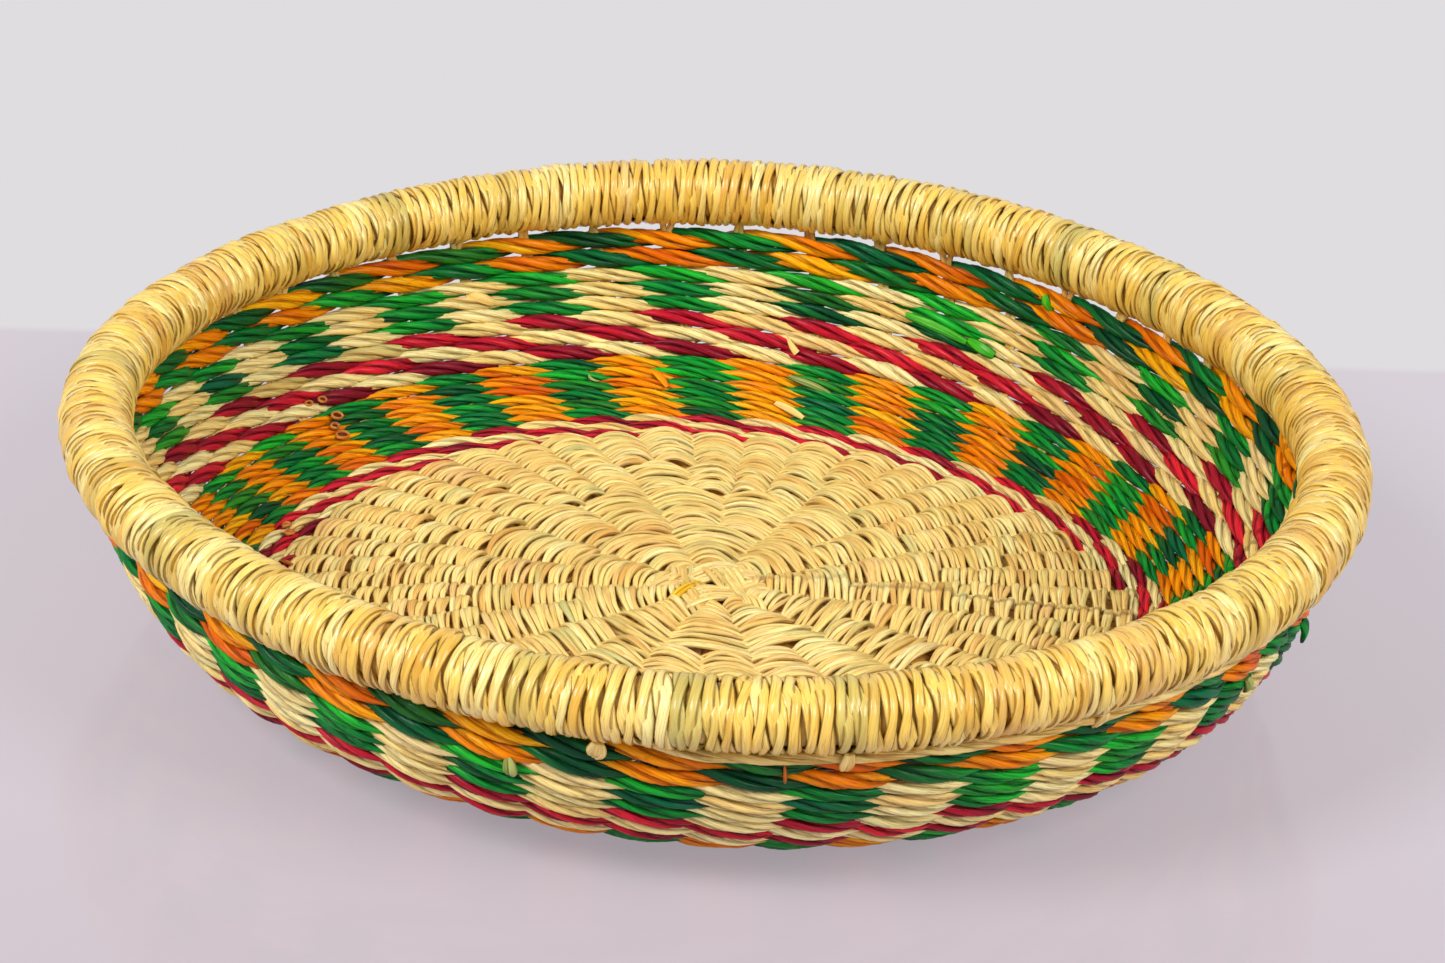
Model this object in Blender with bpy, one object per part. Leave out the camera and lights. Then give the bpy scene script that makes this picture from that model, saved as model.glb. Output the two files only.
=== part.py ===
"""Shallow round basket of twined straw with a thick wrapped rim.

The wall is seventeen twined courses in five colour bands. In each course two
weavers pass inside and outside fifty-two stakes and change places between
them, so both faces show one slanted stitch to a stake. The courses follow a
curved wall, steep at the top and nearly level at the foot, where they meet a
gently domed woven base. A hoop wrapped in sections of straw sits on a thin
lashing above the top course.

Units are metres, +Z is up, and the origin is at the middle of the underside.
Run with: blender --background --python part.py
"""
import math

import bpy
import bmesh
from mathutils import Vector

# Rim
RIM_RADIUS = 0.190              # centre line of the hoop
RIM_TUBE_RADIUS = 0.0107        # over the wrapping, at a section's ends
RIM_SWELL = 0.0004              # extra at the middle of each wrapped section
WRAP_THICKNESS = 0.0026         # straw wound round the hoop
RIM_SECTION_COUNT = 28
RIM_STEPS_PER_SECTION = 2
RIM_SIDES = 8
RIM_SECTION_START = math.radians(87.5)

# Wall
STAKE_COUNT = 52
STAKE_START = math.radians(12.0)
STAKE_SWAY = math.radians(2.8)  # the stakes crowd a little at the two sides
WALL_THICKNESS = 0.0040         # from the crown of an inner stitch to an outer one
GROOVE_DEPTH = 0.0010           # from a stitch's crown down to the groove round it
WALL_TOP_INSET = 0.0018         # top course inside the hoop's centre line
WALL_TOP_LEAN = math.radians(85.3)
WALL_FOOT_LEAN = math.radians(7.0)
FOOT_LIFT = 0.0003              # lowest stitches above the table
TWO_CROWN_PITCH = 0.0055        # courses this high have two crowns to an inner stitch

# Height of one course in each colour band, measured down the wall
RIM_BAND_PITCH = 0.0060
GREEN_BAND_PITCH = 0.0051
UPPER_CHECK_PITCH = 0.0056
ORANGE_BAND_PITCH = 0.0043
LOWER_CHECK_PITCH = 0.0040

# How many courses each colour band has
RIM_BAND_COUNT = 2
GREEN_BAND_COUNT = 3
UPPER_CHECK_COUNT = 3
ORANGE_BAND_COUNT = 6
LOWER_CHECK_COUNT = 3

# Lashing between the top course and the rim
LASHING_HEIGHT = 0.0024
LASHING_WIDTH = 0.0044

# Base
BASE_THICKNESS = 0.0044
BASE_DOME = 0.0075              # rise of the middle above the edge
BASE_LAND = 0.0120              # width of the flat ring that it rests on
CROSS_RADIUS = 0.0120           # crossed straws at the centre
RIDGE_DEPTH = 0.0015            # groove round a stitch of the base
BASE_COURSE_COUNT = 19
INNER_BASE_COURSE_COUNT = 10
INNER_COLUMN_COUNT = 20         # columns of stitches in the inner courses

# Gap left between two pieces that touch
SEAT_GAP = 0.0003

# Hand-made shape: the rim is slightly oval, rises and dips round the basket and
# is higher at the right and the back, and the base stands a little off its middle
RIM_OVAL = 0.0020
RIM_TILT_SIDE = 0.0040
RIM_TILT_BACK = 0.0025
RIM_WAVE_TWO = 0.0014
RIM_WAVE_THREE = 0.0014
FOOT_SHIFT_SIDE = 0.0035
FOOT_SHIFT_BACK = 0.0024

# Where a stitch is raised, as shares of its width and its height: twice on the
# inner face of a high course, high at its left end and low at its right, and
# once elsewhere
TWO_CROWN_SHARES = ((0.30, 0.64), (0.70, 0.36))
ONE_CROWN_SHARES = ((0.50, 0.50),)

# Straw colours, linear: natural, rim, green, orange and crimson
NATURAL = (0.80, 0.60, 0.22)
GOLDEN = (0.85, 0.60, 0.15)
GREEN = (0.00, 0.19, 0.05)
ORANGE = (1.00, 0.27, 0.00)
CRIMSON = (0.43, 0.01, 0.03)

# Each band, from the rim down: its name, how many courses, their height, the
# two stitch colours that take turns round the basket, and whether they change
# places in each course. The first colour stands inside the stakes where the
# top course is orange.
BANDS = (
    ("rim_band", RIM_BAND_COUNT, RIM_BAND_PITCH, (ORANGE, GREEN), False),
    ("green_band", GREEN_BAND_COUNT, GREEN_BAND_PITCH, (GREEN, NATURAL), False),
    ("upper_check_band", UPPER_CHECK_COUNT, UPPER_CHECK_PITCH, (CRIMSON, NATURAL), True),
    ("orange_band", ORANGE_BAND_COUNT, ORANGE_BAND_PITCH, (GREEN, ORANGE), False),
    ("lower_check_band", LOWER_CHECK_COUNT, LOWER_CHECK_PITCH, (CRIMSON, NATURAL), True),
)

WALL_LENGTH = sum(count * pitch for _, count, pitch, _, _ in BANDS)
WALL_CURVE = WALL_LENGTH / (WALL_TOP_LEAN - WALL_FOOT_LEAN)
WALL_TOP_RADIUS = RIM_RADIUS - WALL_TOP_INSET
CURVE_CENTRE_RADIUS = WALL_TOP_RADIUS - WALL_CURVE * math.sin(WALL_TOP_LEAN)
CURVE_CENTRE_HEIGHT = (FOOT_LIFT + WALL_THICKNESS / 2
                       + WALL_CURVE * math.cos(WALL_FOOT_LEAN))
WALL_TOP_HEIGHT = CURVE_CENTRE_HEIGHT - WALL_CURVE * math.cos(WALL_TOP_LEAN)
RIM_HEIGHT = WALL_TOP_HEIGHT + LASHING_HEIGHT + RIM_TUBE_RADIUS + RIM_SWELL
BORE_RADIUS = RIM_TUBE_RADIUS - WRAP_THICKNESS
CORE_RADIUS = BORE_RADIUS - SEAT_GAP
BASE_RADIUS = CURVE_CENTRE_RADIUS + WALL_CURVE * math.sin(WALL_FOOT_LEAN) - SEAT_GAP
BASE_PITCH = (BASE_RADIUS - CROSS_RADIUS) / BASE_COURSE_COUNT


def clear_scene():
    """Remove every object that the file opened with."""
    for item in list(bpy.data.objects):
        bpy.data.objects.remove(item, do_unlink=True)


def straw_material(name, colour, roughness=0.55):
    """Plain dyed or natural straw."""
    material = bpy.data.materials.new(name)
    material.use_nodes = True
    shader = material.node_tree.nodes["Principled BSDF"]
    shader.inputs["Base Color"].default_value = (*colour, 1.0)
    shader.inputs["Roughness"].default_value = roughness
    shader.inputs["Metallic"].default_value = 0.0
    return material


def polar(angle, radius, height):
    """A point from its angle round the basket, radius and height."""
    return Vector((radius * math.cos(angle), radius * math.sin(angle), height))


def hand_shaped(point):
    """Move a point of the regular basket to its place on the hand-made one."""
    share = point.z / RIM_HEIGHT * math.hypot(point.x, point.y) / RIM_RADIUS
    low_share = 1 - min(point.z / WALL_TOP_HEIGHT, 1)
    angle = math.atan2(point.y, point.x)
    stretch = -RIM_OVAL * share * math.sin(2 * angle)
    lift = (RIM_TILT_SIDE * math.cos(angle) + RIM_TILT_BACK * math.sin(angle)
            + RIM_WAVE_TWO * math.sin(2 * angle) - RIM_WAVE_THREE * math.sin(3 * angle))
    return Vector((point.x + stretch * math.cos(angle) + low_share * FOOT_SHIFT_SIDE,
                   point.y + stretch * math.sin(angle) + low_share * FOOT_SHIFT_BACK,
                   point.z + share * lift))


def add_object(name, mesh_builder, materials, smooth=False):
    """Turn a bmesh into a named object with its own materials."""
    for vertex in mesh_builder.verts:
        vertex.co = hand_shaped(vertex.co)
    bmesh.ops.recalc_face_normals(mesh_builder, faces=mesh_builder.faces)
    mesh = bpy.data.meshes.new(name)
    mesh_builder.to_mesh(mesh)
    mesh_builder.free()
    if smooth:
        mesh.shade_smooth()
        mesh.set_sharp_from_angle(angle=math.radians(50))
    for material in materials:
        mesh.materials.append(material)
    item = bpy.data.objects.new(name, mesh)
    bpy.context.scene.collection.objects.link(item)


def loft_closed(sections):
    """Join a round of equal closed loops, the last one back to the first."""
    builder = bmesh.new()
    rings = [[builder.verts.new(point) for point in section] for section in sections]
    for here, after in zip(rings, rings[1:] + rings[:1]):
        for index in range(len(here)):
            following = (index + 1) % len(here)
            builder.faces.new((here[index], here[following],
                               after[following], after[index]))
    return builder


def stake_angle(number):
    """Where a stake stands; half numbers are the crossings between two stakes."""
    turn = number * math.tau / STAKE_COUNT
    return STAKE_START + turn - STAKE_SWAY * math.sin(2 * turn)


def crossing_angle(index):
    """Where the weavers change places, half way between two stakes."""
    return stake_angle(index - 0.5)


def wall_point(angle, down, outward):
    """A point on the wall: length down from its top, and distance out of its middle."""
    lean = WALL_TOP_LEAN - down / WALL_CURVE
    reach = WALL_CURVE + outward
    return polar(angle,
                 CURVE_CENTRE_RADIUS + reach * math.sin(lean),
                 CURVE_CENTRE_HEIGHT - reach * math.cos(lean))


def add_stitch(builder, corners, crowns, material_index):
    """Roof one stitch: four corners in turn, raised to one crown or to two."""
    top_first, top_last, low_last, low_first = corners
    if len(crowns) == 1:
        peak = crowns[0]
        outlines = ((top_first, top_last, peak), (top_last, low_last, peak),
                    (low_last, low_first, peak), (low_first, top_first, peak))
    else:
        near_first, near_last = crowns
        outlines = ((top_first, top_last, near_last), (top_first, near_last, near_first),
                    (low_last, low_first, near_first), (low_last, near_first, near_last),
                    (low_first, top_first, near_first), (top_last, low_last, near_last))
    for outline in outlines:
        face = builder.faces.new(outline)
        face.material_index = material_index


def add_band_face(builder, lines, outside, two_crowns, chequered):
    """Stitches over one face of a band; returns its grooves, line by line."""
    side = 1 if outside else -1
    groove = side * (WALL_THICKNESS / 2 - GROOVE_DEPTH)
    crown = side * WALL_THICKNESS / 2
    crown_shares = TWO_CROWN_SHARES if two_crowns else ONE_CROWN_SHARES
    grooves = [[builder.verts.new(wall_point(crossing_angle(index), line, groove))
                for index in range(STAKE_COUNT)] for line in lines]
    for row, (top, low) in enumerate(zip(lines, lines[1:])):
        for index in range(STAKE_COUNT):
            after = (index + 1) % STAKE_COUNT
            corners = (grooves[row][index], grooves[row][after],
                       grooves[row + 1][after], grooves[row + 1][index])
            first, last = crossing_angle(index), crossing_angle(index + 1)
            crowns = [builder.verts.new(wall_point(first + along * (last - first),
                                                   top + down * (low - top), crown))
                      for along, down in crown_shares]
            colour = (index + outside + (row if chequered else 0)) % 2
            add_stitch(builder, corners, crowns, colour)
    return grooves


def add_band(name, top, count, pitch, colours, chequered):
    """One colour band of the wall, a closed ring of stitched courses."""
    lines = [top + row * pitch for row in range(count + 1)]
    lines[0] += SEAT_GAP / 2
    lines[-1] -= SEAT_GAP / 2
    builder = bmesh.new()
    inner = add_band_face(builder, lines, False, pitch > TWO_CROWN_PITCH, chequered)
    outer = add_band_face(builder, lines, True, False, chequered)
    for edge in (0, -1):
        for index in range(STAKE_COUNT):
            after = (index + 1) % STAKE_COUNT
            builder.faces.new((inner[edge][index], inner[edge][after],
                               outer[edge][after], outer[edge][index]))
    materials = [straw_material(f"{name}_first_straw", colours[0]),
                 straw_material(f"{name}_second_straw", colours[1])]
    add_object(name, builder, materials)


def add_wall():
    """The five bands from the rim down to the base."""
    top = 0.0
    for name, count, pitch, colours, chequered in BANDS:
        add_band(name, top, count, pitch, colours, chequered)
        top += count * pitch


def tube_section(angle, radius):
    """A section across the rim, a regular outline round the hoop's centre line."""
    return [polar(angle,
                  RIM_RADIUS + radius * math.cos(side * math.tau / RIM_SIDES),
                  RIM_HEIGHT + radius * math.sin(side * math.tau / RIM_SIDES))
            for side in range(RIM_SIDES)]


def section_angle(number):
    """Where a wrapped section of the rim starts, counted from the first."""
    return RIM_SECTION_START + number * math.tau / RIM_SECTION_COUNT


def add_rim_core():
    """The hoop inside the wrapping: bent stake ends and straw laid round as one bundle."""
    sections = [tube_section(section_angle(number), CORE_RADIUS)
                for number in range(RIM_SECTION_COUNT)]
    add_object("rim_core_hoop", loft_closed(sections),
               [straw_material("rim_core_straw", NATURAL)], smooth=True)


def add_rim_wrap(number):
    """One wrapped section, a swelling sleeve open at both ends round the hoop."""
    half_gap = SEAT_GAP / RIM_RADIUS / 2
    start = section_angle(number - 1) + half_gap
    end = section_angle(number) - half_gap
    outer = []
    for step in range(RIM_STEPS_PER_SECTION + 1):
        along = step / RIM_STEPS_PER_SECTION
        swell = RIM_SWELL * math.sin(math.pi * along)
        outer.append(tube_section(start + along * (end - start), RIM_TUBE_RADIUS + swell))
    inner = [tube_section(end, BORE_RADIUS), tube_section(start, BORE_RADIUS)]
    name = f"rim_wrap_{number:02d}"
    add_object(name, loft_closed(outer + inner),
               [straw_material(f"{name}_straw", GOLDEN)], smooth=True)


def add_lashing():
    """The straw laid between the top course and the rim, one strand all the way round."""
    foot = WALL_TOP_HEIGHT + SEAT_GAP
    head = RIM_HEIGHT - RIM_TUBE_RADIUS - RIM_SWELL - SEAT_GAP
    middle_radius = (WALL_TOP_RADIUS + RIM_RADIUS) / 2
    middle_height = (foot + head) / 2
    sections = []
    for number in range(RIM_SECTION_COUNT):
        angle = section_angle(number)
        sections.append([polar(angle, WALL_TOP_RADIUS, foot),
                         polar(angle, middle_radius + LASHING_WIDTH / 2, middle_height),
                         polar(angle, RIM_RADIUS, head),
                         polar(angle, middle_radius - LASHING_WIDTH / 2, middle_height)])
    add_object("rim_lashing", loft_closed(sections),
               [straw_material("rim_lashing_straw", NATURAL)])


def dome_height(radius):
    """How far the base has risen at this radius, none at its edge."""
    return BASE_DOME * (1 - (radius / BASE_RADIUS) ** 2)


def ring_points(radius, height, count):
    """A round of points, each where the weavers change places between two columns."""
    return [polar(crossing_angle(index * STAKE_COUNT / count), radius, height)
            for index in range(count)]


def add_outer_weave(inner_edge, course_count):
    """The outer courses of the base, one raised stitch to a stake, over a flat land."""
    lines = [BASE_RADIUS - course * BASE_PITCH for course in range(course_count)]
    lines.append(inner_edge)
    slope_end = BASE_RADIUS - 2 * BASE_LAND
    outlines = [(line, BASE_THICKNESS - RIDGE_DEPTH + dome_height(line)) for line in lines]
    outlines += [(inner_edge, dome_height(inner_edge)),
                 (slope_end, dome_height(slope_end)),
                 (BASE_RADIUS - BASE_LAND, 0.0),
                 (BASE_RADIUS, 0.0)]
    builder = bmesh.new()
    rings = [[builder.verts.new(point) for point in ring_points(radius, height, STAKE_COUNT)]
             for radius, height in outlines]
    for number, (here, inward) in enumerate(zip(rings, rings[1:] + rings[:1])):
        for index in range(STAKE_COUNT):
            after = (index + 1) % STAKE_COUNT
            corners = (here[index], here[after], inward[after], inward[index])
            if number < course_count:
                crown = lines[number] - BASE_PITCH / 2
                middle = polar(stake_angle(index), crown, BASE_THICKNESS + dome_height(crown))
                add_stitch(builder, corners, [builder.verts.new(middle)], 0)
            else:
                builder.faces.new(corners)
    add_object("base_outer_weave", builder,
               [straw_material("base_outer_weave_straw", NATURAL)])


def add_inner_weave(outer_edge, cross_edge):
    """The inner courses of the base, a ring with a crown along the middle of each course."""
    profile = []
    for course in range(INNER_BASE_COURSE_COUNT):
        edge = outer_edge - course * BASE_PITCH
        crown = edge - BASE_PITCH / 2
        profile.append((edge, BASE_THICKNESS - RIDGE_DEPTH + dome_height(edge)))
        profile.append((crown, BASE_THICKNESS + dome_height(crown)))
    profile += [(cross_edge, BASE_THICKNESS - RIDGE_DEPTH + dome_height(cross_edge)),
                (cross_edge, dome_height(cross_edge)),
                (outer_edge, dome_height(outer_edge))]
    rounds = [ring_points(radius, height, INNER_COLUMN_COUNT) for radius, height in profile]
    add_object("base_inner_weave", loft_closed(list(zip(*rounds))),
               [straw_material("base_inner_weave_straw", NATURAL)])


def add_base():
    """The domed base: the outer weave, the inner weave and the crossing."""
    outer_count = BASE_COURSE_COUNT - INNER_BASE_COURSE_COUNT
    joint = BASE_RADIUS - outer_count * BASE_PITCH
    half_gap = SEAT_GAP / 2
    add_outer_weave(joint + half_gap, outer_count)
    add_inner_weave(joint - half_gap, CROSS_RADIUS + half_gap)
    add_base_cross(CROSS_RADIUS - half_gap)


def add_base_cross(radius):
    """The crossed straws at the centre, a low button with a sloping upper edge."""
    builder = bmesh.new()
    foot = dome_height(0)
    outlines = ((radius, foot),
                (radius, foot + BASE_THICKNESS - RIDGE_DEPTH),
                (radius - RIDGE_DEPTH, foot + BASE_THICKNESS))
    rings = [[builder.verts.new(point)
              for point in ring_points(reach, height, INNER_COLUMN_COUNT)]
             for reach, height in outlines]
    for lower, upper in zip(rings, rings[1:]):
        for index in range(INNER_COLUMN_COUNT):
            after = (index + 1) % INNER_COLUMN_COUNT
            builder.faces.new((lower[index], lower[after], upper[after], upper[index]))
    builder.faces.new(rings[0])
    builder.faces.new(rings[-1])
    add_object("base_cross", builder,
               [straw_material("base_cross_straw", NATURAL)], smooth=True)


def main():
    """Build the whole basket."""
    clear_scene()
    add_base()
    add_wall()
    add_lashing()
    add_rim_core()
    for number in range(1, RIM_SECTION_COUNT + 1):
        add_rim_wrap(number)


main()
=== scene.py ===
"""Shallow nesting basket of twined straw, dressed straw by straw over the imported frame.

The wall is seventeen twined courses of coloured straw. Each course is two
strands of three plies that change sides between the stakes. The base is
nineteen courses of loose natural straw, and the rim is a hoop wound with
golden straw in twenty-eight sections. Lengths are in metres.
"""
import logging
import math
from dataclasses import dataclass
from enum import Enum
from functools import partialmethod
from typing import Callable, Sequence

import bpy
import numpy as np
from mathutils import Matrix, Vector


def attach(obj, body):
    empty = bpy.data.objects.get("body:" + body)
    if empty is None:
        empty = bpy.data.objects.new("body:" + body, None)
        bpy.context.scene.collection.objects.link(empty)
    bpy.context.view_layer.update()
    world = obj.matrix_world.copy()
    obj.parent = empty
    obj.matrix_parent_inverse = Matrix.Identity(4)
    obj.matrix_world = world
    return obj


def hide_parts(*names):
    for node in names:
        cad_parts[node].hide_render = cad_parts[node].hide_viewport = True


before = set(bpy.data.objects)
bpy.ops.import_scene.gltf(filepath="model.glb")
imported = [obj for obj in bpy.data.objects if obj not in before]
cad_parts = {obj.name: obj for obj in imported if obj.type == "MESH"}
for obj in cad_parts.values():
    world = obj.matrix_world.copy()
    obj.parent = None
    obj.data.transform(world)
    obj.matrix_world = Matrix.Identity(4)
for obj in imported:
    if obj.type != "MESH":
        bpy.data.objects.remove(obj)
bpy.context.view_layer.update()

Array = np.ndarray
Colour = tuple[float, float, float]
Place = tuple[float, float, float]

SIDES = 8
STEP = 0.001
GRAIN_PER_METRE = 45.0
GRAIN_SPREAD = 90
MOST_AGED = 0.7

logging.basicConfig(level=logging.INFO, format="%(message)s")
LOG = logging.getLogger("basket")


def tone(*seen: float) -> Colour:
    """Red, green and blue as seen on a screen, 0 to 255, as the light a shader needs."""
    return tuple(value / 255 / 12.92 if value / 255 <= 0.04045 else ((value / 255 + 0.055) / 1.055) ** 2.4
                 for value in seen)


class Wire:
    """The output of a node, which adds Math nodes when it is used in an expression."""

    def __init__(self, bench: "Bench", socket: bpy.types.NodeSocket) -> None:
        """Wraps one socket of a bench's node tree."""
        self.bench = bench
        self.socket = socket

    def _math(self, operation: str, *others: object) -> "Wire":
        """Adds a Math node, or Vector Math where this wire is a vector, which a number scales.

        Args:
            operation: The operation of the node.
            others: The wires and numbers that come after this wire.

        Returns:
            The node's output.
        """
        inputs = dict(enumerate((self, *others)))
        if self.socket.type != "VECTOR":
            return self.bench.add("ShaderNodeMath", inputs, operation=operation)
        if operation == "MULTIPLY":
            operation, inputs = "SCALE", {0: self, "Scale": others[0]}
        return self.bench.add("ShaderNodeVectorMath", inputs, operation=operation)

    __add__ = partialmethod(_math, "ADD")
    __sub__ = partialmethod(_math, "SUBTRACT")
    __mul__ = partialmethod(_math, "MULTIPLY")
    __truediv__ = partialmethod(_math, "DIVIDE")
    at_least = partialmethod(_math, "MAXIMUM")
    size = partialmethod(_math, "ABSOLUTE")
    cosine = partialmethod(_math, "COSINE")
    sine = partialmethod(_math, "SINE")

    def __rsub__(self, other: float) -> "Wire":
        """The difference, number first."""
        return self.bench.add("ShaderNodeMath", {0: other, 1: self}, operation="SUBTRACT")

    def clamped(self) -> "Wire":
        """The value held between 0 and 1."""
        return self.bench.add("ShaderNodeClamp", {0: self})

    def over(self, low: float, high: float) -> "Wire":
        """How far the value has come from low to high, as a smooth step from 0 to 1."""
        return self.bench.add("ShaderNodeMapRange", {"Value": self, "From Min": low, "From Max": high},
                              interpolation_type="SMOOTHSTEP")


class Bench:
    """A node tree and the methods that add nodes to it."""

    def __init__(self, tree: bpy.types.NodeTree) -> None:
        """Works on a tree that is already made."""
        self.tree = tree

    def add(self, kind: str, inputs: dict | None = None, output: int | str = 0, **settings: object) -> Wire:
        """Adds one node.

        Args:
            kind: The node's type.
            inputs: Values, colours or wires for its sockets, by name or number.
            output: The socket to return, by name or number.
            settings: The node's own settings, which are set first.

        Returns:
            The chosen output.
        """
        node = self.tree.nodes.new(kind)
        for name, value in settings.items():
            setattr(node, name, value)
        for name, value in (inputs or {}).items():
            socket = node.inputs[name]
            if isinstance(value, Wire):
                self.tree.links.new(value.socket, socket)
            else:
                socket.default_value = (*value, 1.0) if isinstance(value, tuple) else value
        return Wire(self, node.outputs[output] if node.outputs else node.inputs[0])

    def ramp(self, place: Wire, *stops: tuple[float, Colour]) -> Wire:
        """Adds a colour ramp.

        Args:
            place: Where to read it.
            stops: Place and colour of each stop, from left to right.

        Returns:
            The colour.
        """
        colour = self.add("ShaderNodeValToRGB", {0: place})
        elements = colour.socket.node.color_ramp.elements
        while len(elements) < len(stops):
            elements.new(1.0)
        for element, (share, value) in zip(elements, stops):
            element.position = share
            element.color = (*value, 1.0)
        return colour

    def blend(self, share: object, first: object, second: object) -> Wire:
        """Mixes two colours; the share is how much of the second."""
        return self.add("ShaderNodeMix", {0: share, 6: first, 7: second}, 2, data_type="RGBA")

    def attribute(self, name: str, output: str = "Fac") -> Wire:
        """Reads one of a piece's own attributes in a material."""
        return self.add("ShaderNodeAttribute", {}, output, attribute_name=name)

    def noise(self, place: Wire, scale: float, detail: float) -> Wire:
        """Soft noise of one value."""
        return self.add("ShaderNodeTexNoise", {"Vector": place, "Scale": scale, "Detail": detail})


def cleared(owner: bpy.types.Material | bpy.types.World) -> Bench:
    """The emptied node tree of a material or a world."""
    owner.use_nodes = True
    owner.node_tree.nodes.clear()
    return Bench(owner.node_tree)


def placed(name: str, data: bpy.types.ID) -> bpy.types.Object:
    """A new object in the scene."""
    item = bpy.data.objects.new(name, data)
    bpy.context.scene.collection.objects.link(item)
    return item


@dataclass(frozen=True)
class StrawFinish:
    """Dyed or natural straw: its tones, how they wander, and its gloss."""

    name: str
    slot: str
    deep: Colour
    plain: Colour
    pale: Colour
    aged: Colour
    worn: Colour
    streaks: float = 0.5
    roughness: float = 0.40
    gloss: float = 0.3
    coat: float = 0.10
    coat_roughness: float = 0.22
    relief: float = 0.00025
    contrast: float = 0.32
    blotches: float = 0.5
    crease_thinness: float = 26.0
    # painted shade in the creases: how far the colour darkens there
    painted_crease_shade: float = 0.6
    # painted shade: how far the sides of each ply are darkened towards a darker deep tone, shade painted in
    # the gaps between neighbouring plies
    painted_side_shade: float = 0.75
    painted_side_shade_from: float = 0.72
    painted_side_shade_to: float = 1.02
    painted_side_shade_tone: float = 0.3

    def material(self) -> bpy.types.Material:
        """The finish as a material, made once and then used again.

        Returns:
            A material that reads the straws' own attributes.
        """
        found = bpy.data.materials.get(self.name)
        if found:
            return found
        material = bpy.data.materials.new(self.name)
        bench = cleared(material)
        grain = bench.attribute("grain", "Vector")
        tint, age, edge = (bench.attribute(name) for name in ("tint", "age", "edge"))
        fibre = bench.noise(grain, 3.2, 3.0)
        blotch = bench.noise(grain, 0.55, 2.0)
        fold = bench.noise(grain, 1.5, 1.0)
        mottle = (blotch - 0.5) * self.blotches
        place = (tint * self.contrast + 0.5 + (fibre - 0.5) * self.streaks + mottle).clamped()
        colour = bench.ramp(place, (0.12, self.deep), (0.5, self.plain), (0.9, self.pale))
        colour = bench.blend((age + mottle).clamped(), colour, self.aged)
        colour = bench.blend((mottle - age).clamped(), colour, self.worn)
        # painted shade: the colour darkens towards the deep tone along the creases, as well as the bump that
        # dents them
        crease = (1.0 - (fold - 0.5).size() * self.crease_thinness).clamped()
        colour = bench.blend(crease * self.painted_crease_shade, colour, self.deep)
        # painted shade: the colour darkens towards a darker deep tone at the sides of each ply's section,
        # standing in for the shade between plies
        side = edge.over(self.painted_side_shade_from, self.painted_side_shade_to) * self.painted_side_shade
        colour = bench.blend(side, colour, tuple(value * self.painted_side_shade_tone for value in self.deep))
        height = fibre * 0.6 + fold * 0.8 - crease * 0.5
        bump = bench.add("ShaderNodeBump", {"Height": height, "Distance": self.relief, "Strength": 1.0})
        shader = bench.add("ShaderNodeBsdfPrincipled", {
            "Base Color": colour, "Roughness": (fibre - 0.5) * 0.35 + self.roughness, "Normal": bump,
            "Specular IOR Level": self.gloss, "Coat Weight": self.coat,
            "Coat Roughness": self.coat_roughness})
        bench.add("ShaderNodeOutputMaterial", {"Surface": shader})
        return material


NATURAL = StrawFinish("natural_straw_finish", "natural_straw", tone(222, 168, 80), tone(255, 222, 130),
                      tone(255, 242, 170), tone(202, 196, 122), tone(238, 192, 122),
                      contrast=0.22, painted_side_shade=0.55)
GOLDEN = StrawFinish("golden_straw_finish", "golden_straw", tone(216, 156, 44), tone(251, 210, 94),
                     tone(255, 239, 158), tone(192, 182, 100), tone(228, 178, 92), streaks=0.25,
                     roughness=0.30, coat=0.55, relief=0.00014, contrast=0.34, painted_side_shade=0.80,
                     painted_side_shade_from=0.74)
GREEN = StrawFinish("green_straw_finish", "green_straw", tone(0, 70, 38), tone(0, 126, 48),
                    tone(24, 186, 44), tone(0, 96, 68), tone(50, 132, 30), gloss=0.1, coat=0.14)
ORANGE = StrawFinish("orange_straw_finish", "orange_straw", tone(222, 94, 0), tone(255, 148, 0),
                     tone(255, 190, 10), tone(252, 184, 4), tone(232, 112, 0),
                     gloss=0.1, coat=0.12, painted_side_shade=0.65)
CRIMSON = StrawFinish("crimson_straw_finish", "crimson_straw", tone(128, 12, 36), tone(198, 20, 46),
                      tone(236, 36, 54), tone(152, 30, 54), tone(124, 12, 36), gloss=0.1, coat=0.14)
DRIED = StrawFinish("dried_orange_straw_finish", "orange_straw", tone(92, 36, 8), tone(228, 126, 48),
                    tone(250, 176, 96), tone(200, 110, 40), tone(190, 90, 30),
                    gloss=0.1, coat=0.1, painted_side_shade=0.3)
OLIVE = StrawFinish("olive_straw_finish", "green_straw", tone(84, 100, 34), tone(150, 164, 84),
                    tone(196, 200, 120), tone(120, 150, 70), tone(160, 150, 80), gloss=0.1, coat=0.1)
LEAF = StrawFinish("leaf_green_finish", "green_straw", tone(20, 134, 20), tone(66, 186, 24),
                   tone(150, 214, 70), tone(40, 150, 40), tone(110, 180, 40), gloss=0.1, coat=0.2)
YELLOW = StrawFinish("yellow_straw_finish", "golden_straw", tone(226, 160, 20), tone(252, 202, 32),
                     tone(255, 226, 80), tone(240, 190, 40), tone(230, 170, 40), gloss=0.2, coat=0.2)


def unit(vectors: Array) -> Array:
    """Vectors made one long."""
    return vectors / np.maximum(np.linalg.norm(vectors, axis=-1, keepdims=True), 1e-12)


def tangents(points: Array, closed: bool) -> Array:
    """Direction of a line at each of its points; a closed one comes back to its start."""
    if closed:
        return unit(np.roll(points, -1, axis=0) - np.roll(points, 1, axis=0))
    return unit(np.gradient(points, axis=0))


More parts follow.
